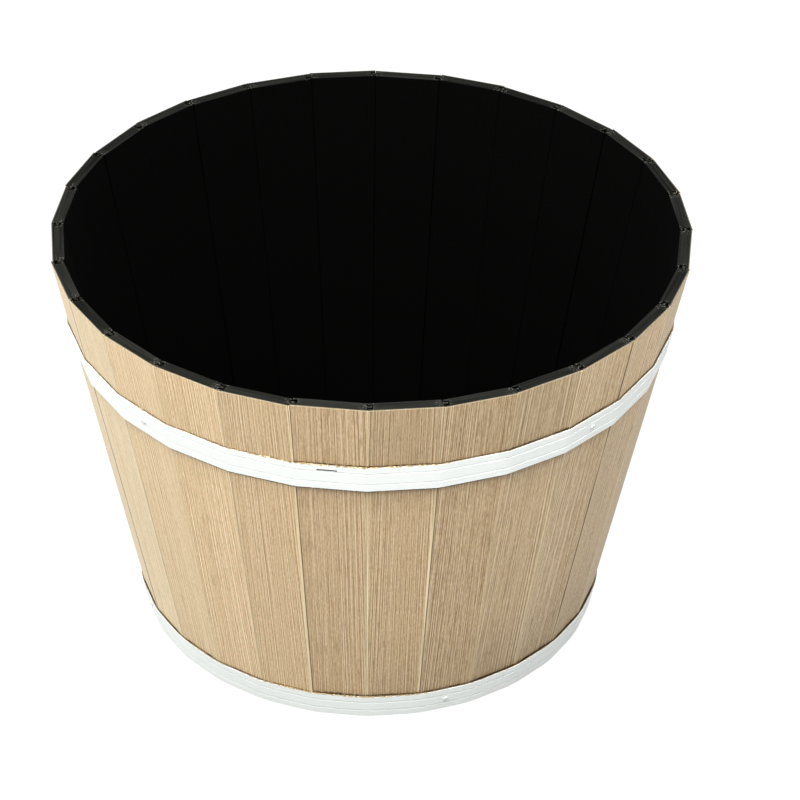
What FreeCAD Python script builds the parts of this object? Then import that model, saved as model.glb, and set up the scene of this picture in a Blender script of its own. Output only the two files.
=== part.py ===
"""Tapered tub planter: tongued and grooved boards stand round a base and two nailed hoops hold them.

Millimetres. +Z is up and the origin is the middle of the footprint on the floor. The staves are counted
anticlockwise from +X, seen from above, and a seam between two staves lies on +X.
"""
import FreeCAD
import Part
import Sketcher

import collections
import math
import os

SIZES = {
    # the whole tub; radii run to the outside corners, where two staves meet
    "staves": 28,
    "rim_radius": 300,
    "foot_radius": 222,
    "tub_height": 407,
    # the boards, measured level; a stave stands in or out of line by up to stave_step
    "wall": 11.2,
    "face_thickness": 0.8,
    "face_bevel": 0.5,
    "seam_fit": 0.15,
    "stave_step": 0.8,
    # the tongue and groove half way through two boards
    "tongue_thickness": 3,
    "tongue_reach": 4,
    "groove_side_fit": 0.2,
    "groove_end_fit": 1.2,
    "inner_fit": 0.7,
    # the base board in its slot
    "base_level": 28,
    "base_thickness": 12,
    "base_bite": 5,
    "base_fit": 0.3,
    "drains": 6,
    "drain_diameter": 14,
    "drain_ring_radius": 130,
    # the hoops: flat bands with two shallow lines along them, bent round each seam at a radius
    "upper_hoop_drop": 68.5,
    "upper_hoop_width": 29.5,
    "lower_hoop_lift": 0.5,
    "lower_hoop_width": 27.5,
    "upper_hoop_bend": 8,
    "lower_hoop_bend": 110,
    "hoop_thickness": 1.3,
    "hoop_fit": 0.2,
    "hoop_edge": 0.4,
    "hoop_line_inset": 8.2,
    "hoop_line_width": 2,
    "hoop_line_depth": 0.4,
    "hoop_split": 0.8,
    "hoop_slot_length": 18,
    "hoop_slot_height": 1.6,
    "hoop_slot_drop": 6.8,
    "hoop_slot_shift": 3,
    # the nails
    "nail_diameter": 2.2,
    "nail_reach": 9,
    "nail_head_diameter": 5.6,
    "nail_head_crown": 3,
    "nail_head_height": 1,
    "nail_fit": 0.15,
    "nail_to_split": 12,
}

# staves are numbered from 0: the first that each hoop is nailed to, and the one behind the slotted stretch
UPPER_NAIL_INDEX = 24
LOWER_NAIL_INDEX = 22
SLOT_INDEX = 20
# each hoop is nailed at this many staves, and it is split at the one half way round
NAILED_STAVES = 4
SPLIT_INDEX = 2
# mixes the staves' places in and out of line, so that no order shows
SEAT_MIX = 1.85

doc = FreeCAD.newDocument("TubPlanter")
sheet = doc.addObject("Spreadsheet::Sheet", "Sizes")
for row, (alias, size) in enumerate(SIZES.items(), 1):
    sheet.set(f"A{row}", alias)
    sheet.set(f"B{row}", str(size))
    sheet.setAlias(f"B{row}", alias)
doc.recompute()
STAVES = int(sheet.staves)


def value(expression):
    """Number that an expression over the sheet comes to."""
    return float(sheet.evalExpression(expression))


def corner_radius(level):
    """Radius of the tub's outside corners at a height."""
    return f"(Sizes.foot_radius + (Sizes.rim_radius - Sizes.foot_radius) * ({level}) / Sizes.tub_height)"


def flat_radius(level):
    """Distance from the tub's axis to the flats of its outside at a height."""
    return f"({corner_radius(level)} * cos({HALF_TURN}))"


def stave_turn(index):
    """Direction of the middle of a stave, in degrees from +X."""
    return f"({index} + 0.5) * 360 / Sizes.staves"


# expressions that several pieces share
HALF_TURN = "(180 deg / Sizes.staves)"
LEAN = f"atan((Sizes.rim_radius - Sizes.foot_radius) * cos({HALF_TURN}) / Sizes.tub_height)"
SEAM = f"(Sizes.seam_fit / 2 + Sizes.stave_step * sin({HALF_TURN}))"
INNER_SEAM = f"(Sizes.inner_fit / 2 + Sizes.stave_step * sin({HALF_TURN}))"
BASE_RADIUS = f"({flat_radius('Sizes.base_level')} - Sizes.wall * cos({HALF_TURN}) + Sizes.base_bite)"

# a hoop's lower edge, its width, its bend at the seams and the first stave that it is nailed to
Hoop = collections.namedtuple("Hoop", "name level width bend first_nail")
UPPER_HOOP = Hoop("upper_hoop", "(Sizes.tub_height - Sizes.upper_hoop_drop - Sizes.upper_hoop_width)",
                  "Sizes.upper_hoop_width", "Sizes.upper_hoop_bend", UPPER_NAIL_INDEX)
LOWER_HOOP = Hoop("lower_hoop", "Sizes.lower_hoop_lift",
                  "Sizes.lower_hoop_width", "Sizes.lower_hoop_bend", LOWER_NAIL_INDEX)


def hoop_stand(hoop):
    """Distance from the flats to the inside of a hoop: its bends clear the corners of the outermost stave."""
    return f"(Sizes.stave_step + Sizes.hoop_fit + {hoop.bend} * (1 / cos({HALF_TURN}) - 1))"


def flat_sketch(body, name, role):
    """Empty sketch on one of the body's own origin planes."""
    plane = next(feature for feature in body.Origin.OriginFeatures if feature.Role == role)
    sketch = body.newObject("Sketcher::SketchObject", name)
    sketch.AttachmentSupport = (plane, [""])
    sketch.MapMode = "FlatFace"
    return sketch


def bind_point(sketch, geometry, point, place):
    """Ties one point of a sketch to a pair of expressions."""
    for kind, expression in zip(("DistanceX", "DistanceY"), place):
        constraint = sketch.addConstraint(Sketcher.Constraint(kind, -1, 1, geometry, point, 1.0))
        sketch.setExpression(f"Constraints[{constraint}]", expression)


def draw_polygon(sketch, corners):
    """Closed outline whose corners are pairs of expressions."""
    count = len(corners)
    turns = [math.tau * i / count for i in range(count)]
    start = [FreeCAD.Vector(math.cos(turn), math.sin(turn)) for turn in turns]
    after = start[1:] + start[:1]
    sketch.addGeometry([Part.LineSegment(*ends) for ends in zip(start, after)], False)
    sketch.addConstraint([Sketcher.Constraint("Coincident", i, 2, (i + 1) % count, 1) for i in range(count)])
    for i, corner in enumerate(corners):
        bind_point(sketch, i, 1, corner)


def draw_circle(sketch, centre, diameter):
    """Circle whose centre and diameter are expressions."""
    index = sketch.addGeometry(Part.Circle(FreeCAD.Vector(), FreeCAD.Vector(0, 0, 1), 1.0), False)
    bind_point(sketch, index, 3, centre)
    constraint = sketch.addConstraint(Sketcher.Constraint("Diameter", index, 2.0))
    sketch.setExpression(f"Constraints[{constraint}]", diameter)


def must_shrink(feature, before):
    """A cut that misses its solid leaves the volume as it was."""
    doc.recompute()
    if feature.Shape.Volume >= before:
        raise RuntimeError(f"{feature.Label} cuts nothing")


def tongue_side(radius, depth, out):
    """Point on the tongued edge of a stave: a depth from the outside corner and a distance past it."""
    along = f"({radius} - {depth})"
    return (f"{along} * cos({HALF_TURN}) - ({out}) * sin({HALF_TURN})",
            f"{along} * sin({HALF_TURN}) + ({out}) * cos({HALF_TURN})")


def groove_side(radius, depth, inward):
    """Point on the grooved edge of a stave: a depth from the outside corner and a distance in from it."""
    along = f"({radius} - {depth})"
    return (f"{along} * cos({HALF_TURN}) + ({inward}) * sin({HALF_TURN})",
            f"-{along} * sin({HALF_TURN}) + ({inward}) * cos({HALF_TURN})")


def core_outline(radius):
    """Level section of a board, with a groove on one edge and a tongue on the other."""
    middle = "(Sizes.face_thickness + Sizes.wall) / 2"
    half_tongue = "Sizes.tongue_thickness / 2"
    half_groove = f"({half_tongue} + 2 * Sizes.stave_step + Sizes.groove_side_fit)"
    groove_out = f"({middle} - {half_groove})"
    groove_in = f"({middle} + {half_groove})"
    groove_end = "Sizes.tongue_reach + Sizes.groove_end_fit"
    tongue_out = f"({middle} - {half_tongue})"
    tongue_in = f"({middle} + {half_tongue})"
    return [
        groove_side(radius, "Sizes.face_thickness", SEAM),
        groove_side(radius, groove_out, SEAM),
        groove_side(radius, groove_out, groove_end),
        groove_side(radius, groove_in, groove_end),
        groove_side(radius, groove_in, INNER_SEAM),
        groove_side(radius, "Sizes.wall", INNER_SEAM),
        tongue_side(radius, "Sizes.wall", f"-{INNER_SEAM}"),
        tongue_side(radius, tongue_in, f"-{INNER_SEAM}"),
        tongue_side(radius, tongue_in, "Sizes.tongue_reach"),
        tongue_side(radius, tongue_out, "Sizes.tongue_reach"),
        tongue_side(radius, tongue_out, f"-{SEAM}"),
        tongue_side(radius, "Sizes.face_thickness", f"-{SEAM}"),
    ]


def face_outline(radius):
    """Level section of the thin layer on a board, with bevelled long edges."""
    bevelled = f"({SEAM} + Sizes.face_bevel)"
    return [
        groove_side(radius, "0", bevelled),
        groove_side(radius, "Sizes.face_bevel", SEAM),
        groove_side(radius, "Sizes.face_thickness", SEAM),
        tongue_side(radius, "Sizes.face_thickness", f"-{SEAM}"),
        tongue_side(radius, "Sizes.face_bevel", f"-{SEAM}"),
        tongue_side(radius, "0", f"-{bevelled}"),
    ]


def tapered_board(name, outline):
    """Body that runs straight from its section at the floor to its section at the rim, facing +X."""
    body = doc.addObject("PartDesign::Body", name)
    foot = flat_sketch(body, f"{name}_foot", "XY_Plane")
    draw_polygon(foot, outline("Sizes.foot_radius"))
    rim = flat_sketch(body, f"{name}_rim", "XY_Plane")
    rim.setExpression("AttachmentOffset.Base.z", "Sizes.tub_height")
    draw_polygon(rim, outline("Sizes.rim_radius"))
    board = body.newObject("PartDesign::AdditiveLoft", f"{name}_board")
    board.Profile = foot
    board.Sections = [rim]
    board.Ruled = True
    doc.recompute()
    return body


def cut_base_slot(body):
    """Straight slot across the inside of a board, for the edge of the base board."""
    back = f"{BASE_RADIUS} + Sizes.stave_step + Sizes.base_fit"
    front = f"{BASE_RADIUS} - Sizes.wall"
    low = "Sizes.base_level - Sizes.base_fit"
    high = "Sizes.base_level + Sizes.base_thickness + Sizes.base_fit"
    sketch = flat_sketch(body, "slot_section", "XZ_Plane")
    draw_polygon(sketch, [(front, low), (back, low), (back, high), (front, high)])
    before = body.Shape.Volume
    slot = body.newObject("PartDesign::Pocket", "base_slot")
    slot.Profile = sketch
    slot.Midplane = True
    slot.Type = "ThroughAll"
    must_shrink(slot, before)


def turned_on_hoop(name, hoop, profile):
    """Body turned about the line that leaves a hoop square to the wall, half way up it on the +X stave.

    The profile's first coordinate runs outwards from the outside of the hoop, its second from that line.
    """
    body = doc.addObject("PartDesign::Body", name)
    sketch = flat_sketch(body, f"{name}_profile", "XZ_Plane")
    middle = f"({hoop.level} + {hoop.width} / 2)"
    outside = f"{flat_radius(middle)} + {hoop_stand(hoop)} + Sizes.hoop_thickness"
    sketch.setExpression("AttachmentOffset.Base.x", outside)
    sketch.setExpression("AttachmentOffset.Base.y", middle)
    sketch.setExpression("AttachmentOffset.Rotation.Angle", f"-{LEAN}")
    draw_polygon(sketch, profile)
    turning = body.newObject("PartDesign::Revolution", f"{name}_turning")
    turning.Profile = sketch
    turning.ReferenceAxis = (sketch, ["H_Axis"])
    turning.Angle = 360
    doc.recompute()
    return body


def nail_profile():
    """Half section of a nail: plain shank, flat-sided head and a low crown."""
    shank = "Sizes.nail_diameter / 2"
    head = "Sizes.nail_head_diameter / 2"
    crown = "Sizes.nail_head_crown / 2"
    return [("-Sizes.nail_reach", "0"), ("Sizes.nail_head_height", "0"), ("Sizes.nail_head_height", crown),
            ("Sizes.nail_head_height / 2", head), ("0", head), ("0", shank), ("-Sizes.nail_reach", shank)]


def hole_profile():
    """Half section of the hole that a nail has through the hoop and into the board."""
    radius = "Sizes.nail_diameter / 2 + Sizes.nail_fit"
    end = "-Sizes.nail_reach - Sizes.nail_fit"
    return [(end, "0"), ("Sizes.nail_head_height", "0"), ("Sizes.nail_head_height", radius), (end, radius)]


def clone(label, master, index, radial="0", sideways="0"):
    """Copy of a body made on the +X axis, turned to a stave and moved out from or along it."""
    body = doc.addObject("PartDesign::Body", label)
    body.Label = label
    copy = body.newObject("PartDesign::FeatureBase", f"{label}_copy")
    copy.BaseFeature = master
    body.Tip = copy
    turn = f"({stave_turn(index)} * 1 deg)"
    body.setExpression("Placement.Rotation.Angle", turn)
    body.setExpression("Placement.Base.x", f"({radial}) * cos({turn}) - ({sideways}) * sin({turn})")
    body.setExpression("Placement.Base.y", f"({radial}) * sin({turn}) + ({sideways}) * cos({turn})")
    return body


def cut(label, base, tools):
    """A piece with the tools' space taken out of it."""
    group = doc.addObject("Part::Compound", f"{label}_tools")
    group.Links = tools
    result = doc.addObject("Part::Cut", label)
    result.Label = label
    result.Base = base
    result.Tool = group
    return result


def nailed_stave(hoop, turn):
    """Stave at one of the places round the tub where a hoop is nailed."""
    return (hoop.first_nail + turn * STAVES // NAILED_STAVES) % STAVES


def nail_places(hoop):
    """Stave and offset along the hoop of each nail of a hoop; two nails flank the split."""
    for turn in range(NAILED_STAVES):
        offsets = ("-Sizes.nail_to_split", "Sizes.nail_to_split") if turn == SPLIT_INDEX else ("0",)
        for sideways in offsets:
            yield nailed_stave(hoop, turn), sideways


def hoop_path(hoop):
    """Line of a hoop's inner lower edge, from one side of its split to the other.

    It runs straight along each flat of the tub and is bent at each seam.
    """
    pitch = math.tau / STAVES
    height = value(hoop.level)
    flat = value(f"{flat_radius(hoop.level)} + {hoop_stand(hoop)}")
    bend = value(hoop.bend)
    straight = (flat - bend) * math.tan(pitch / 2)
    corner = (flat - bend) / math.cos(pitch / 2) + bend
    gap = sheet.hoop_split / 2
    split_stave = nailed_stave(hoop, SPLIT_INDEX)

    def place(turns, radius, along):
        angle = (split_stave + 0.5 + turns) * pitch
        return FreeCAD.Vector(radius * math.cos(angle) - along * math.sin(angle),
                              radius * math.sin(angle) + along * math.cos(angle), height)

    edges = []
    for turns in range(STAVES + 1):
        start = place(turns, flat, gap if turns == 0 else -straight)
        end = place(turns, flat, -gap if turns == STAVES else straight)
        edges.append(Part.LineSegment(start, end).toShape())
        if turns < STAVES:
            bent = Part.Arc(end, place(turns + 0.5, corner, 0), place(turns + 1, flat, -straight))
            edges.append(bent.toShape())
    path = doc.addObject("Part::Feature", f"{hoop.name}_path")
    path.Shape = Part.Wire(edges)
    return path


def hoop_section(hoop):
    """Upright section of a hoop at its split: it leans with the wall, and has eased edges and two lines."""
    line = "Sizes.hoop_line_width / 2"
    low_line = "Sizes.hoop_line_inset"
    high_line = f"({hoop.width} - Sizes.hoop_line_inset)"
    outside = [
        ("0", "Sizes.hoop_edge"),
        ("Sizes.hoop_edge", "0"),
        (f"{low_line} - {line}", "0"),
        (low_line, "Sizes.hoop_line_depth"),
        (f"{low_line} + {line}", "0"),
        (f"{high_line} - {line}", "0"),
        (high_line, "Sizes.hoop_line_depth"),
        (f"{high_line} + {line}", "0"),
        (f"{hoop.width} - Sizes.hoop_edge", "0"),
        (hoop.width, "Sizes.hoop_edge"),
    ]
    inside = [(hoop.width, "Sizes.hoop_thickness"), ("0", "Sizes.hoop_thickness")]
    corners = []
    for up, inset in outside + inside:
        height = f"{hoop.level} + {up}"
        outer = f"{flat_radius(height)} + {hoop_stand(hoop)} + Sizes.hoop_thickness"
        corners.append((f"{outer} - {inset}", height))
    split_stave = nailed_stave(hoop, SPLIT_INDEX)
    upright = FreeCAD.Rotation(FreeCAD.Vector(1, 0, 0), 90)
    turn = FreeCAD.Rotation(FreeCAD.Vector(0, 0, 1), value(stave_turn(split_stave)))
    to_edge = FreeCAD.Vector(0, sheet.hoop_split / 2, 0)
    section = doc.addObject("Sketcher::SketchObject", f"{hoop.name}_section")
    section.Placement = FreeCAD.Placement(turn.multVec(to_edge), turn * upright)
    draw_polygon(section, corners)
    return section


def hoop_band(hoop):
    """Plain hoop: its section carried round the tub from one side of the split to the other."""
    path = hoop_path(hoop)
    band = doc.addObject("Part::Sweep", f"{hoop.name}_band")
    band.Spine = (path, [f"Edge{i}" for i in range(1, len(path.Shape.Edges) + 1)])
    band.Sections = [hoop_section(hoop)]
    band.Solid = True
    band.Frenet = True
    return band


def hoop_slot(hoop):
    """Block through a hoop near its top edge, a little clockwise of the middle of one stave."""
    low = f"({hoop.level} + {hoop.width} - Sizes.hoop_slot_drop)"
    radial = flat_radius(low)
    turn = f"({stave_turn(SLOT_INDEX)} * 1 deg)"
    start = "(Sizes.hoop_slot_length / 2 + Sizes.hoop_slot_shift)"
    block = doc.addObject("Part::Box", "hoop_slot")
    block.setExpression("Length", f"2 * ({hoop_stand(hoop)} + Sizes.hoop_thickness)")
    block.setExpression("Width", "Sizes.hoop_slot_length")
    block.setExpression("Height", "Sizes.hoop_slot_height")
    block.setExpression("Placement.Rotation.Angle", turn)
    block.setExpression("Placement.Base.x", f"{radial} * cos({turn}) + {start} * sin({turn})")
    block.setExpression("Placement.Base.y", f"{radial} * sin({turn}) - {start} * cos({turn})")
    block.setExpression("Placement.Base.z", low)
    return block


def seat(index):
    """How far a stave stands out of line, uneven from one stave to the next."""
    return f"{math.sin(SEAT_MIX * index ** 2)} * Sizes.stave_step"


def base_board():
    """Round board with a drain hole in the middle and a ring of them round it."""
    body = doc.addObject("PartDesign::Body", "base_board")
    disc = flat_sketch(body, "disc", "XY_Plane")
    disc.setExpression("AttachmentOffset.Base.z", "Sizes.base_level")
    draw_circle(disc, ("0", "0"), f"2 * {BASE_RADIUS}")
    draw_circle(disc, ("0", "0"), "Sizes.drain_diameter")
    board = body.newObject("PartDesign::Pad", "board")
    board.Profile = disc
    board.setExpression("Length", "Sizes.base_thickness")
    doc.recompute()
    drain = flat_sketch(body, "drain", "XY_Plane")
    draw_circle(drain, ("Sizes.drain_ring_radius", "0"), "Sizes.drain_diameter")
    drain_hole = body.newObject("PartDesign::Pocket", "drain_hole")
    drain_hole.Profile = drain
    drain_hole.Type = "ThroughAll"
    drain_hole.Reversed = True
    must_shrink(drain_hole, board.Shape.Volume)
    ring = body.newObject("PartDesign::PolarPattern", "drain_ring")
    ring.Originals = [drain_hole]
    ring.Axis = (drain, ["N_Axis"])
    ring.Angle = 360
    ring.setExpression("Occurrences", "Sizes.drains")
    body.Tip = ring
    must_shrink(ring, drain_hole.Shape.Volume)
    return body


nodes = []
nails = []
hoops = []
holes = {index: [] for index in range(STAVES)}

# the hoops, with their nails and the holes that the nails go into
for hoop in (UPPER_HOOP, LOWER_HOOP):
    nail = turned_on_hoop(f"{hoop.name}_nail", hoop, nail_profile())
    hole = turned_on_hoop(f"{hoop.name}_hole", hoop, hole_profile())
    tools = []
    for number, (index, sideways) in enumerate(nail_places(hoop), 1):
        nails.append(clone(f"{hoop.name}_nail_{number}", nail, index, sideways=sideways))
        tools.append(clone(f"{hoop.name}_hole_{number}", hole, index, sideways=sideways))
        holes[index].append(tools[-1])
    if hoop is UPPER_HOOP:
        tools.append(hoop_slot(hoop))
    hoops.append(cut(hoop.name, hoop_band(hoop), tools))

# the staves: a core and a thin face each
core = tapered_board("core", core_outline)
cut_base_slot(core)
face = tapered_board("face", face_outline)
for kind, master in (("stave_core", core), ("stave_face", face)):
    for index in range(STAVES):
        label = f"{kind}_{index + 1:02d}"
        if holes[index]:
            whole = clone(f"{label}_undrilled", master, index, radial=seat(index))
            nodes.append(cut(label, whole, holes[index]))
        else:
            nodes.append(clone(label, master, index, radial=seat(index)))

nodes.append(base_board())
nodes += hoops

nail_group = doc.addObject("Part::Compound", "hoop_nails")
nail_group.Links = nails
nodes.append(nail_group)

doc.recompute()
for item in doc.Objects:
    if "Invalid" in item.State or "Error" in item.State:
        raise RuntimeError(f"{item.Label} failed: {item.State}")
for node in nodes:
    solids = len(nails) if node is nail_group else 1
    if node.Shape.isNull() or not node.Shape.isValid() or len(node.Shape.Solids) != solids:
        raise RuntimeError(f"{node.Label} does not hold the sound solids that it should")

os.makedirs("parts", exist_ok=True)
for node in nodes:
    node.Shape.exportStep(f"parts/{node.Label}.step")
print(f"{len(nodes)} nodes written")
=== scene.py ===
import collections
import math
import random

import bpy
from mathutils import Matrix, Vector


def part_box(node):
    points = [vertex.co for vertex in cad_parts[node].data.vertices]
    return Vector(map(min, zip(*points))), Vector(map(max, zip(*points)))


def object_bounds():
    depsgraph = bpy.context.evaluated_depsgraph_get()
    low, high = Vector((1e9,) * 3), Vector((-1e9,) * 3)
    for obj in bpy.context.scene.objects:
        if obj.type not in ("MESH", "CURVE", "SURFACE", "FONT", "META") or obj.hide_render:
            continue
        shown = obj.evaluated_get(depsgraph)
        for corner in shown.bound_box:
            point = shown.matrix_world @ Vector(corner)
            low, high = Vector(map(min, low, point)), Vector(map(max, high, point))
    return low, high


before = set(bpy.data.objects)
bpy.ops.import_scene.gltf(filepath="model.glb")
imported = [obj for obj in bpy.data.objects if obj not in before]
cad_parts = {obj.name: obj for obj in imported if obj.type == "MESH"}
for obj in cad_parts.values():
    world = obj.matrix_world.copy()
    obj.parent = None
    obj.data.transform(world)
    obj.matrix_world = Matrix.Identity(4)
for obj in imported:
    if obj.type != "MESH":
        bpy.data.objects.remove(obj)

cad_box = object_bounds()

# the tub; radii run to the outside corners, where two boards meet
STAVES = sum(name.startswith("stave_face_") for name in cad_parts)
TURN = math.tau / STAVES
RIM_RADIUS = 0.300
FOOT_RADIUS = 0.222
TUB_HEIGHT = cad_box[1].z

# the hoops, with the colour of painted shade on the up-facing walls of the lines along them
HOOPS = {"upper_hoop": (0.80, 0.835, 0.805, 1), "lower_hoop": (0.685, 0.72, 0.70, 1)}

# how pale and warm a board is against the mean, how strongly its grain shows, and how pale it is above the
# upper hoop and at the foot against its middle
Tone = collections.namedtuple("Tone", "level warmth grain top foot")
# painted light: the front boards are paler, cooler and fainter in grain towards the left, as lit and sheened
# from the left; their darker feet are painted shade near the floor
FRONT_TONES_AND_LIGHT = {
    15: Tone(1.34, -0.08, 0.7, 1.0, 1.08),
    16: Tone(1.36, -0.06, 0.65, 0.97, 1.06),
    17: Tone(1.25, -0.01, 0.7, 0.99, 0.99),
    18: Tone(1.18, 0.02, 0.9, 0.94, 0.97),
    19: Tone(1.035, 0.03, 0.95, 0.905, 1.0),
    20: Tone(0.865, 0.05, 1.1, 0.91, 0.98),
    21: Tone(0.885, 0.045, 1.15, 0.78, 0.90),
    22: Tone(0.815, 0.045, 1.3, 0.89, 0.91),
    23: Tone(0.925, 0.02, 1.05, 0.83, 0.79),
    24: Tone(0.955, 0.02, 1.3, 1.02, 0.79),
    25: Tone(0.99, 0.02, 1.5, 1.11, 0.82),
}

# the joint after a board: how pale the edge before it is, how dark the joint is at the foot, below the upper
# hoop and above it, and how pale the edge after it is
Joint = collections.namedtuple("Joint", "pale_before dark_foot dark_below dark_above pale_after")
PLAIN_JOINT = Joint(0.3, 0.05, 0.15, 0.1, 0.1)
JOINTS = {
    15: Joint(0.3, 0.8, 0.8, 0.5, 0.0),
    16: Joint(0.2, 0.3, 0.2, 0.2, 0.0),
    17: Joint(0.2, 0.0, 0.0, 0.1, 1.0),
    19: Joint(0.8, 0.1, 0.0, 0.0, 0.0),
    20: Joint(0.1, 0.0, 0.0, 0.0, 1.0),
    21: Joint(0.8, 0.6, 0.6, 0.5, 0.0),
    23: Joint(0.5, 0.3, 0.4, 0.1, 0.1),
    24: Joint(0.3, 1.0, 1.0, 0.9, 0.8),
}

# heights between which a board's tone changes at the foot and at the top, its edges are less rubbed, and its
# joints change up to the upper hoop and behind it
FOOT_FADE = (0.035, 0.13)
TOP_FADE = (0.27, 0.35)
WEAR_FADE = (0.25, 0.34)
JOINT_FADE = (0.04, 0.27)
JOINT_STEP = (0.315, 0.33)

# the hoops' top edges are barest here, in front and a little to the left
BARE_EDGE = math.radians(262 - 360)

# the colours of the oak, from its dark lines to its pale ones, and of what marks it
OAK_GRAIN = [
    (0.05, (0.330, 0.213, 0.098)),
    (0.40, (0.509, 0.371, 0.211)),
    (0.60, (0.603, 0.462, 0.287)),
    (0.95, (0.785, 0.646, 0.457)),
]
PALE_RAY = (0.80, 0.64, 0.45, 1)
DARK_PORE = (0.265, 0.17, 0.078, 1)
RUBBED_OAK = (0.90, 0.76, 0.47, 1)
EASED_OAK_AND_LIGHT = (0.74, 0.61, 0.40, 1)
OPEN_JOINT = (0.09, 0.055, 0.028, 1)
CUT_OAK = (0.05, 0.042, 0.03, 1)
PAINTED_HOOP_SHADE = (0.075, 0.048, 0.024, 1)
GOLDEN_GLINT = (0.66, 0.52, 0.27, 1)

# the photograph's camera
LENS_MM = 141.25
SENSOR_MM = 36.0
CAMERA_DISTANCE = 3.0473
CAMERA_AIM_HEIGHT = 0.2037
CAMERA_AZIMUTH = math.radians(0.574)
CAMERA_ELEVATION = math.radians(35.005)
CAMERA_PAN = math.radians(0.537)
CAMERA_TILT = math.radians(0.0947)
CAMERA_ROLL = math.radians(0.3629)

# the lamps: azimuth from +X and elevation in degrees, distance, length of a side, and power
LAMPS = {
    "key": (212, 50, 2.6, 1.8, 44),
    "side": (165, 35, 2.6, 1.4, 35),
    "front": (268, 62, 1.5, 0.9, 44),
    "fill": (322, 60, 1.4, 0.9, 14),
    "back": (45, 45, 2.6, 1.4, 18),
}
WORLD_COLOUR = (0.97, 0.985, 1.0, 1)
WORLD_STRENGTH = 0.575

# half the floor's width, and its greys for bounced light and for what sees it
FLOOR_REACH = 8.0
FLOOR_BOUNCE = (0.18, 0.18, 0.18, 1)
FLOOR_SEEN = (0.95, 0.95, 0.95, 1)

dice = random.Random(28)
tone_dice = random.Random(5)


class Graph:
    """Node tree of a new material, with short calls for adding nodes."""

    # how far apart the two noises are that make crisp lines
    HAIR = 0.0009

    def __init__(self, name):
        self.material = bpy.data.materials.new(name)
        self.material.use_nodes = True
        self.tree = self.material.node_tree
        self.tree.nodes.clear()

    def add(self, kind, inputs=None, **settings):
        """New node; an input is given a value or is linked to another node's output."""
        new = self.tree.nodes.new(kind)
        for key, value in settings.items():
            setattr(new, key, value)
        for key, value in (inputs or {}).items():
            if isinstance(value, bpy.types.NodeSocket):
                self.tree.links.new(value, new.inputs[key])
            else:
                new.inputs[key].default_value = value
        return new

    def math(self, operation, a, b=0.0):
        """Result of an operation on two numbers, or on the first alone."""
        return self.add("ShaderNodeMath", {0: a, 1: b}, operation=operation).outputs[0]

    def object_place(self):
        """Point of the surface in the tub's own frame."""
        return self.add("ShaderNodeTexCoord").outputs["Object"]

    def true_normal(self):
        """Direction that the surface faces, without bump."""
        return self.add("ShaderNodeNewGeometry").outputs["True Normal"]

    def split(self, vector):
        """The three numbers of a vector."""
        return self.add("ShaderNodeSeparateXYZ", {0: vector}).outputs

    def noise(self, vector, scale, seed=0.0, detail=2.0, roughness=0.5):
        """Noise between 0 and 1 at its own scale along each axis."""
        inputs = {"Vector": vector, "Scale": scale, "Location": (seed, seed, seed)}
        place = self.add("ShaderNodeMapping", inputs).outputs[0]
        inputs = {"Vector": place, "Scale": 1.0, "Detail": detail, "Roughness": roughness}
        return self.add("ShaderNodeTexNoise", inputs).outputs[0]

    def lines(self, vector, scale, seed):
        """Crisp lines along Z, about 0: a noise less the same noise a hair's breadth aside."""
        inputs = {0: vector, 1: (0, self.HAIR, 0)}
        aside = self.add("ShaderNodeVectorMath", inputs, operation="ADD").outputs[0]
        return self.math("SUBTRACT", self.noise(vector, scale, seed, 1), self.noise(aside, scale, seed, 1))

    def span(self, value, low, high, to_low=0.0, to_high=1.0):
        """Value taken from one range to another and held at its ends."""
        inputs = {"Value": value, "From Min": low, "From Max": high, "To Min": to_low, "To Max": to_high}
        return self.add("ShaderNodeMapRange", inputs).outputs[0]

    def mix(self, share, a, b, blend="MIX"):
        """Colour a with a share of colour b."""
        inputs = {0: share, 6: a, 7: b}
        return self.add("ShaderNodeMix", inputs, data_type="RGBA", blend_type=blend).outputs[2]

    def ramp(self, value, stops):
        """Colour from a list of places and colours."""
        new = self.add("ShaderNodeValToRGB", {0: value})
        elements = new.color_ramp.elements
        while len(elements) < len(stops):
            elements.new(1.0)
        for element, (place, colour) in zip(elements, stops):
            element.position = place
            element.color = (*colour, 1.0)
        return new.outputs[0]

    def bump(self, height, distance, strength):
        """Normal that shows a height without changing the mesh."""
        inputs = {"Height": height, "Distance": distance, "Strength": strength}
        return self.add("ShaderNodeBump", inputs).outputs[0]

    def surface(self, **inputs):
        """Ends the tree in one shader with the given inputs, and gives the material back."""
        words = {key.replace("_", " "): value for key, value in inputs.items()}
        shader = self.add("ShaderNodeBsdfPrincipled", words)
        self.add("ShaderNodeOutputMaterial", {"Surface": shader.outputs[0]})
        return self.material


def flat_radius(g, z):
    """Distance from the axis to the outside of a stave at a height, before it is set in or out."""
    foot = FOOT_RADIUS * math.cos(TURN / 2)
    rim = RIM_RADIUS * math.cos(TURN / 2)
    return g.math("ADD", g.math("MULTIPLY", z, (rim - foot) / TUB_HEIGHT), foot)


# a board's number from 0, the seed of its noises, the turn that brings it to +X, the point of the surface with
# the sway of the grain, and the point's place out from the tub's axis, across the board and up
Board = collections.namedtuple("Board", "index seed turn_back wood out across up")


def turned_board(g, index, seed):
    """One board's own frame in its material."""
    turn_back = (0, 0, -(index + 0.5) * TURN)
    local = g.add("ShaderNodeMapping", {"Vector": g.object_place(), "Rotation": turn_back}).outputs[0]
    # the grain wanders a little across the board as it runs up
    most_sway = 0.0012
    sway = g.math("SUBTRACT", g.noise(local, (0, 14, 5), seed, 1), 0.5)
    aside = g.add("ShaderNodeCombineXYZ", {1: g.math("MULTIPLY", sway, most_sway)}).outputs[0]
    wood = g.add("ShaderNodeVectorMath", {0: local, 1: aside}, operation="ADD").outputs[0]
    return Board(index, seed, turn_back, wood, *g.split(local))


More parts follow.
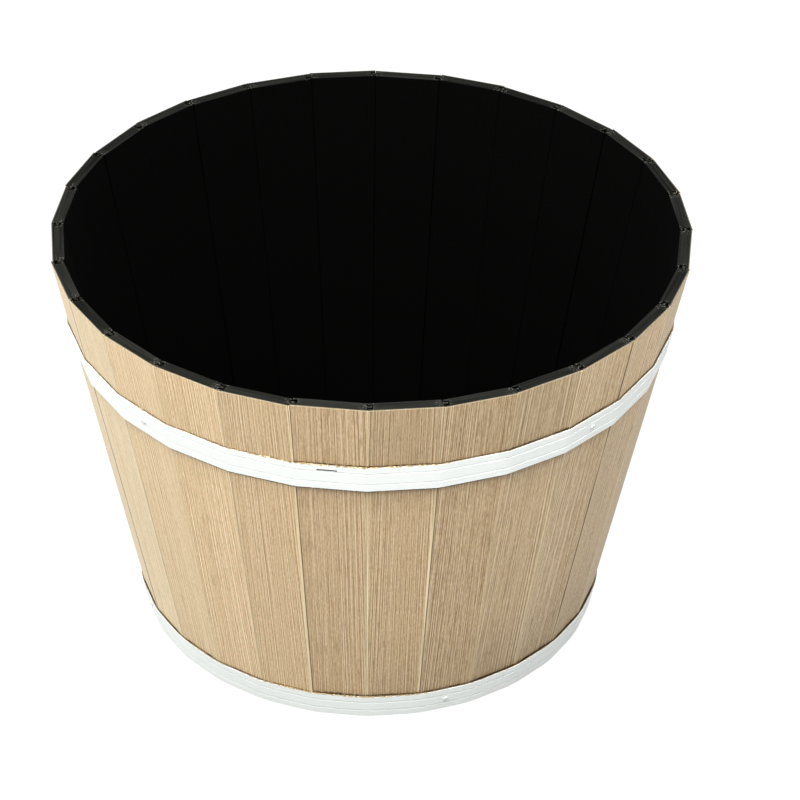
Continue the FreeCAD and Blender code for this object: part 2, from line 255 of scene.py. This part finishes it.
def oak_grain(g, board, strength):
    """Height of a board's grain, about 0.5, its pores and its colour."""
    wood = board.wood
    seed = board.seed
    # bands of growth, long lines, short fibres and a fine mottle
    thick = g.span(g.noise(wood, (0, 85, 0.9), seed + 21, 1), 0.3, 0.7, 0.4, 1.7)
    layers = (
        (g.math("SUBTRACT", g.noise(wood, (0, 60, 0.7), seed, 1), 0.5), 0.18),
        (g.math("MULTIPLY", g.lines(wood, (0, 850, 1.8), seed + 3), thick), 1.00),
        (g.lines(wood, (0, 950, 8), seed + 6), 0.55),
        (g.lines(wood, (0, 850, 80), seed + 7), 0.30),
        (g.math("SUBTRACT", g.noise(wood, (0, 1000, 220), seed + 9, 1), 0.5), 0.70),
    )
    grain = 0.5
    for field, weight in layers:
        inputs = {0: field, 1: weight * strength, 2: grain}
        grain = g.add("ShaderNodeMath", inputs, operation="MULTIPLY_ADD").outputs[0]
    colour = g.ramp(grain, OAK_GRAIN)
    # single pale lines and short dark pores
    rays = g.span(g.noise(wood, (0, 420, 1.8), seed + 15, 1), 0.64, 0.72)
    colour = g.mix(g.math("MULTIPLY", rays, 0.4 * strength), colour, PALE_RAY)
    pores = g.span(g.noise(wood, (0, 900, 36), seed + 11, 1), 0.60, 0.70)
    colour = g.mix(g.math("MULTIPLY", pores, 0.5 * strength), colour, DARK_PORE)
    return grain, pores, colour


def toned(g, board, colour, tone):
    """Colour of a board in its tone, which holds painted light in front and changes above the upper hoop and
    towards the foot, mostly darker there as painted shade.
    """
    tint = (tone.level * (1 + tone.warmth), tone.level, tone.level * (1 - tone.warmth), 1)
    colour = g.mix(1.0, colour, tint, "MULTIPLY")
    at_top = g.span(board.up, *TOP_FADE, 1.0, tone.top)
    at_foot = g.span(board.up, *FOOT_FADE, tone.foot, 1.0)
    fade = g.math("MULTIPLY", at_top, at_foot)
    grey = g.add("ShaderNodeCombineColor", {0: fade, 1: fade, 2: fade}).outputs[0]
    return g.mix(1.0, colour, grey, "MULTIPLY")


def with_joints(g, board, colour, normal):
    """Colour of a board with pale wood along its rubbed edges, and dark lines in its open joints."""
    after = JOINTS.get(board.index, PLAIN_JOINT)
    before = JOINTS.get((board.index - 1) % STAVES, PLAIN_JOINT)
    half_width = g.math("MULTIPLY", board.out, math.tan(TURN / 2))
    worn = g.noise(board.wood, (0, 300, 9), board.seed + 13, 2)
    wear = g.span(worn, 0.35, 0.65, 0.35, 1.0)
    wear = g.math("MULTIPLY", wear, g.span(board.up, *WEAR_FADE, 1.0, 0.2))
    # which way the edge lies, the width of its rubbed strip, how soft the strip's side is, and how pale it is
    strips = ((-1, 0.0032, 0.0014, after.pale_before), (1, 0.0018, 0.0007, before.pale_after))
    for way, width, soft, pale in strips:
        inward = g.math("ADD", half_width, g.math("MULTIPLY", board.across, way))
        rubbed = g.math("MULTIPLY", g.span(inward, width, width - soft), wear)
        colour = g.mix(g.math("MULTIPLY", rubbed, pale), colour, RUBBED_OAK)
    # the bevels face across the board; their pale eased oak is partly painted light against the shade in the
    # narrow joints
    inputs = {"Vector": normal, "Rotation": board.turn_back}
    facing = g.add("ShaderNodeMapping", inputs, vector_type="VECTOR").outputs[0]
    side = g.split(facing)[1]
    for way, joint in ((1, after), (-1, before)):
        eased = g.span(g.math("MULTIPLY", side, way), 0.25, 0.5)
        below = g.span(board.up, *JOINT_FADE, joint.dark_foot, joint.dark_below)
        step = g.span(board.up, *JOINT_STEP, 0.0, joint.dark_above - joint.dark_below)
        dark = g.math("MULTIPLY", g.span(worn, 0.3, 0.6, 0.5, 1.0), g.math("ADD", below, step))
        colour = g.mix(eased, colour, g.mix(dark, EASED_OAK_AND_LIGHT, OPEN_JOINT))
    return colour


def with_ends(g, board, colour, normal):
    """Colour of a board with a pale line along its top edge and dark cut ends."""
    rubbed = g.span(board.up, TUB_HEIGHT - 0.0012, TUB_HEIGHT - 0.0006, 0.0, 0.45)
    colour = g.mix(rubbed, colour, RUBBED_OAK)
    return g.mix(g.span(g.split(normal)[2], 0.6, 0.9), colour, CUT_OAK)


def with_hoop_shade(g, board, colour):
    """Colour of a board with painted shade behind the hoops and painted shadow in thin lines along their
    edges.
    """
    ragged = g.noise(board.wood, (0, 420, 300), board.seed + 17, 2)
    patchy = g.span(g.noise(board.wood, (0, 90, 0), board.seed + 19, 2), 0.35, 0.6, 0.3, 1.0)
    deep = g.math("SUBTRACT", flat_radius(g, board.up), board.out)
    # painted golden glints lie where the hoops' edges are barest
    near_bare = max(0.0, math.cos((board.index + 0.5) * TURN - BARE_EDGE) - 0.85) / 0.15
    glints = g.span(g.noise(board.wood, (0, 520, 620), board.seed + 23, 2), 0.56, 0.62, 0.0, near_bare)
    shade_and_glints = g.mix(glints, PAINTED_HOOP_SHADE, GOLDEN_GLINT)
    # painted shadow: dark lines just above and below each hoop, reaching lower on set-in boards so they show
    # past the hoop's edge, and painted shade behind it
    for name in HOOPS:
        low, high = (corner.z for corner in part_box(name))
        top = g.math("ADD", g.math("MULTIPLY", ragged, 0.0040), high - 0.0018)
        below = g.math("LESS_THAN", board.up, top)
        below = g.math("MULTIPLY", below, g.span(board.up, high - 0.002, high, 1.0, patchy))
        bottom = g.math("SUBTRACT", low - 0.0027, g.math("MULTIPLY", deep, 0.8))
        above = g.math("GREATER_THAN", board.up, bottom)
        colour = g.mix(g.math("MULTIPLY", below, above), colour, shade_and_glints)
    return colour


def oak(index):
    """Pale oak with fine upright grain; each board has its own run of grain and its own tone, which in front
    holds painted light.
    """
    g = Graph(f"oak_{index + 1:02d}")
    seed = dice.uniform(0, 50)
    # the foot of each drawn board is darker, as painted shade near the floor
    drawn = Tone(dice.uniform(0.92, 1.08), dice.uniform(-0.02, 0.03), dice.uniform(0.9, 1.2),
                 tone_dice.uniform(0.92, 1.08), tone_dice.uniform(0.86, 1.0))
    tone = FRONT_TONES_AND_LIGHT.get(index, drawn)
    board = turned_board(g, index, seed)
    normal = g.true_normal()
    grain, pores, colour = oak_grain(g, board, tone.grain)
    colour = toned(g, board, colour, tone)
    colour = with_joints(g, board, colour, normal)
    colour = with_ends(g, board, colour, normal)
    colour = with_hoop_shade(g, board, colour)
    return g.surface(
        Base_Color=colour,
        Roughness=g.span(grain, 0.2, 0.8, 0.62, 0.48),
        Specular_IOR_Level=0.3,
        Normal=g.bump(g.math("SUBTRACT", grain, pores), 0.00015, 0.5),
    )


def core_board():
    """Matt black board, dark grey with faint saw lines where it is cut across."""
    g = Graph("core_board")
    place = g.object_place()
    x, y, z = g.split(place)
    # place across the board's thickness and along its width, board by board
    angle = g.math("ARCTAN2", y, x)
    board = g.math("FLOOR", g.math("DIVIDE", angle, TURN))
    off = g.math("SUBTRACT", angle, g.math("MULTIPLY", g.math("ADD", board, 0.5), TURN))
    radius = g.math("SQRT", g.math("ADD", g.math("POWER", x, 2), g.math("POWER", y, 2)))
    out = g.math("MULTIPLY", radius, g.math("COSINE", off))
    across = g.math("MULTIPLY", radius, g.math("SINE", off))
    end = g.add("ShaderNodeCombineXYZ", {0: out, 1: across, 2: board}).outputs[0]
    # saw lines on the cut ends; some boards are paler than others
    sawn = (0.0042, 0.0044, 0.0037)
    most_paler = (1.7, 1.7, 1.7, 1)
    lines = g.noise(end, (420, 14, 3.7), 2.0, 2)
    grit = g.noise(place, (1500, 1500, 400), 5.0, 2)
    speckle = g.math("ADD", g.math("MULTIPLY", lines, 0.6), g.math("MULTIPLY", grit, 0.4))
    cut = g.ramp(speckle, [(0.36, tuple(0.4 * c for c in sawn)), (0.64, tuple(1.7 * c for c in sawn))])
    shift = g.add("ShaderNodeTexWhiteNoise", {"W": board}, noise_dimensions="1D").outputs[0]
    cut = g.mix(g.span(shift, 0, 1), cut, g.mix(1.0, cut, most_paler, "MULTIPLY"))
    # torn fibres by the joints
    to_joint = g.math("MULTIPLY", radius, g.math("SUBTRACT", TURN / 2, g.math("ABSOLUTE", off)))
    torn = g.span(g.noise(place, (650, 650, 0), 8.0, 1), 0.60, 0.68)
    torn = g.math("MULTIPLY", torn, g.span(to_joint, 0.009, 0.004))
    cut = g.mix(g.math("MULTIPLY", torn, 0.8), cut, (0.085, 0.083, 0.07, 1))
    # the edges of the boards are brown close to the outside, and the rest of them is black, near zero as
    # painted shade that keeps the tub's inside black
    brown_depth = 0.0014
    near = g.math("GREATER_THAN", out, g.math("SUBTRACT", flat_radius(g, z), brown_depth))
    brown = g.mix(g.span(z, 0.05, 0.25), (0.50, 0.38, 0.235, 1), (0.42, 0.31, 0.19, 1))
    black_and_shade = g.ramp(grit, [(0.3, (0.0002, 0.0002, 0.0002)), (0.7, (0.0006, 0.0006, 0.0005))])
    side = g.mix(near, black_and_shade, brown)
    facing_up = g.split(g.true_normal())[2]
    return g.surface(
        Base_Color=g.mix(g.span(facing_up, 0.7, 0.95), side, cut),
        Roughness=g.span(grit, 0.3, 0.7, 0.9, 0.75),
        Specular_IOR_Level=0.02,
        Normal=g.bump(speckle, 0.0002, 0.4),
    )


def base_board():
    """Black board with faint straight grain, dusty in places."""
    g = Graph("base_board")
    place = g.object_place()
    grain = g.noise(place, (6, 380, 40), 2.0, 3)
    grit = g.noise(place, (1500, 1500, 1500), 5.0, 2)
    dust = g.noise(place, (11, 17, 11), 7.0, 4, 0.6)
    rough = g.math("ADD", g.math("MULTIPLY", grain, 0.7), g.math("MULTIPLY", grit, 0.3))
    colour = g.ramp(rough, [(0.35, (0.0035, 0.0035, 0.0033)), (0.65, (0.010, 0.010, 0.0092))])
    colour = g.mix(g.span(dust, 0.48, 0.75, 0.0, 0.35), colour, (0.030, 0.029, 0.026, 1))
    return g.surface(
        Base_Color=colour,
        Roughness=g.span(dust, 0.4, 0.7, 0.7, 0.9),
        Specular_IOR_Level=0.15,
        Normal=g.bump(rough, 0.0002, 0.3),
    )


def white_hoop(name):
    """Satin white paint with faint lengthwise brushing and a bare tan edge along the top."""
    g = Graph(name)
    x, y, z = g.split(g.object_place())
    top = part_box(name)[1].z
    angle = g.math("ARCTAN2", y, x)
    around = g.add("ShaderNodeCombineXYZ", {0: angle, 1: z}).outputs[0]
    brush = g.noise(around, (4, 700, 0), 1.0, 2)
    patches = g.noise(around, (7, 45, 0), 4.0, 2)
    paint = g.ramp(brush, [(0.3, (0.855, 0.885, 0.85)), (0.7, (0.875, 0.90, 0.865))])
    paint = g.mix(g.span(patches, 0.4, 0.7, 0, 0.6), paint, (0.84, 0.88, 0.855, 1))
    # painted shade: the walls that face up in the lines pressed into the band are darker, against the light
    # from above
    facing_up = g.split(g.true_normal())[2]
    paint = g.mix(g.span(facing_up, -0.12, 0.12), paint, HOOPS[name])
    # painted shade: the floor of the slot is dark; it lies well below the top edge
    level = g.math("GREATER_THAN", facing_up, 0.7)
    slot_shade = g.math("MULTIPLY", level, g.math("LESS_THAN", z, top - 0.003))
    paint = g.mix(slot_shade, paint, (0.13, 0.135, 0.13, 1))
    # the cut edge is bare in places, ragged along its outer side
    most_bare = 0.0017
    ragged = g.noise(around, (110, 500, 0), 6.0, 2)
    reach = g.span(g.math("COSINE", g.math("SUBTRACT", angle, BARE_EDGE)), 0.90, 0.99, 0.0, 0.9)
    reach = g.math("ADD", reach, g.span(g.noise(around, (5, 0, 0), 9.3, 1), 0.45, 0.75, 0.05, 0.6))
    reach = g.math("MULTIPLY", reach, g.span(g.noise(around, (55, 0, 0), 2.7, 1), 0.38, 0.6, 0.25, 1.0))
    line = g.math("SUBTRACT", top, g.math("MULTIPLY", g.math("MULTIPLY", ragged, most_bare), reach))
    bare = g.math("GREATER_THAN", z, line)
    edge = g.ramp(ragged, [
        (0.38, (0.12, 0.085, 0.04)),
        (0.5, (0.32, 0.245, 0.12)),
        (0.62, (0.60, 0.50, 0.30)),
    ])
    edge = g.mix(g.span(reach, 0.2, 0.7), (0.16, 0.115, 0.07, 1), edge)
    return g.surface(
        Base_Color=g.mix(bare, paint, edge),
        Roughness=g.span(brush, 0.3, 0.7, 0.42, 0.34),
        Specular_IOR_Level=0.2,
        Normal=g.bump(brush, 0.0001, 0.1),
    )


def nail_metal():
    """Painted nail heads, duller than the hoops; the upper ones have grime where the paint is thin."""
    g = Graph("nail_metal")
    place = g.object_place()
    grain = g.noise(place, (1600, 1600, 1600), 3.0, 2)
    upper = g.ramp(grain, [
        (0.35, (0.34, 0.345, 0.335)),
        (0.45, (0.66, 0.68, 0.66)),
        (0.6, (0.80, 0.82, 0.80)),
    ])
    lower = g.ramp(grain, [(0.35, (0.62, 0.645, 0.62)), (0.6, (0.73, 0.75, 0.73))])
    return g.surface(
        Base_Color=g.mix(g.span(g.split(place)[2], 0.1, 0.2), lower, upper),
        Roughness=g.span(grain, 0.3, 0.7, 0.5, 0.38),
        Normal=g.bump(grain, 0.0001, 0.3),
    )


def dress(node, material):
    """Puts a material on a node of the frame."""
    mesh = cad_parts[node].data
    mesh.materials.clear()
    mesh.materials.append(material)


def studio_floor():
    """Wide pale floor that shows white and keeps a soft shadow of the tub."""
    mesh = bpy.data.meshes.new("studio_floor")
    ways = ((-1, -1), (1, -1), (1, 1), (-1, 1))
    corners = [(x * FLOOR_REACH, y * FLOOR_REACH, 0) for x, y in ways]
    mesh.from_pydata(corners, [], [(0, 1, 2, 3)])
    floor = bpy.data.objects.new("studio_floor", mesh)
    bpy.context.scene.collection.objects.link(floor)
    g = Graph("studio_floor")
    rays = g.add("ShaderNodeLightPath").outputs
    seen = g.math("MAXIMUM", rays["Is Camera Ray"], rays["Is Glossy Ray"])
    seen = g.math("MAXIMUM", seen, rays["Is Transmission Ray"])
    paper = g.add("ShaderNodeBsdfDiffuse", {"Color": g.mix(seen, FLOOR_BOUNCE, FLOOR_SEEN)})
    glow = g.add("ShaderNodeEmission", {"Color": (1, 1, 1, 1), "Strength": 1.0})
    # the floor shows no white of its own below the tub
    apart = g.add("ShaderNodeVectorMath", {0: g.object_place()}, operation="LENGTH").outputs["Value"]
    share = g.math("MULTIPLY", seen, g.span(apart, 0.19, 0.205, 0.0, 0.9))
    shown = g.add("ShaderNodeMixShader", {0: share, 1: paper.outputs[0], 2: glow.outputs[0]})
    g.add("ShaderNodeOutputMaterial", {"Surface": shown.outputs[0]})
    mesh.materials.append(g.material)


def studio_world():
    """White all round for the camera and for reflections, and an even soft light for everything else."""
    world = bpy.data.worlds.new("studio")
    bpy.context.scene.world = world
    world.use_nodes = True
    tree = world.node_tree
    tree.nodes.clear()
    rays = tree.nodes.new("ShaderNodeLightPath")
    light = tree.nodes.new("ShaderNodeBackground")
    light.inputs["Color"].default_value = WORLD_COLOUR
    light.inputs["Strength"].default_value = WORLD_STRENGTH
    white = tree.nodes.new("ShaderNodeBackground")
    white.inputs["Strength"].default_value = 1.0
    shown = tree.nodes.new("ShaderNodeMixShader")
    output = tree.nodes.new("ShaderNodeOutputWorld")
    seen = rays.outputs["Is Camera Ray"]
    for kind in ("Is Glossy Ray", "Is Transmission Ray"):
        either = tree.nodes.new("ShaderNodeMath")
        either.operation = "MAXIMUM"
        tree.links.new(seen, either.inputs[0])
        tree.links.new(rays.outputs[kind], either.inputs[1])
        seen = either.outputs[0]
    tree.links.new(seen, shown.inputs[0])
    tree.links.new(light.outputs[0], shown.inputs[1])
    tree.links.new(white.outputs[0], shown.inputs[2])
    tree.links.new(shown.outputs[0], output.inputs["Surface"])


def softbox(name, azimuth, elevation, distance, size, power):
    """Square area lamp that faces the middle of the tub."""
    data = bpy.data.lights.new(name, "AREA")
    data.size = size
    data.energy = power
    lamp = bpy.data.objects.new(name, data)
    bpy.context.scene.collection.objects.link(lamp)
    turn = math.radians(azimuth)
    rise = math.radians(elevation)
    flat = math.cos(rise)
    way = Vector((flat * math.cos(turn), flat * math.sin(turn), math.sin(rise)))
    lamp.location = Vector((0, 0, CAMERA_AIM_HEIGHT)) + distance * way
    lamp.rotation_euler = way.to_track_quat("Z", "Y").to_euler()


def camera():
    """Camera at the photograph's place: in front of a seam, looking down into the tub."""
    data = bpy.data.cameras.new("camera")
    data.sensor_width = SENSOR_MM
    data.lens = LENS_MM
    eye = bpy.data.objects.new("camera", data)
    bpy.context.scene.collection.objects.link(eye)
    eye.matrix_world = (
        Matrix.Translation((0, 0, CAMERA_AIM_HEIGHT))
        @ Matrix.Rotation(CAMERA_AZIMUTH, 4, "Z")
        @ Matrix.Rotation(math.pi / 2 - CAMERA_ELEVATION, 4, "X")
        @ Matrix.Translation((0, 0, CAMERA_DISTANCE))
        @ Matrix.Rotation(-CAMERA_PAN, 4, "Y")
        @ Matrix.Rotation(CAMERA_TILT, 4, "X")
        @ Matrix.Rotation(CAMERA_ROLL, 4, "Z")
    )
    bpy.context.scene.camera = eye


core = core_board()
for index in range(STAVES):
    dress(f"stave_core_{index + 1:02d}", core)
    dress(f"stave_face_{index + 1:02d}", oak(index))
dress("base_board", base_board())
for name in HOOPS:
    dress(name, white_hoop(name))
dress("hoop_nails", nail_metal())

studio_floor()
studio_world()
for name, setting in LAMPS.items():
    softbox(name, *setting)
camera()
bpy.context.scene.view_settings.view_transform = "Standard"
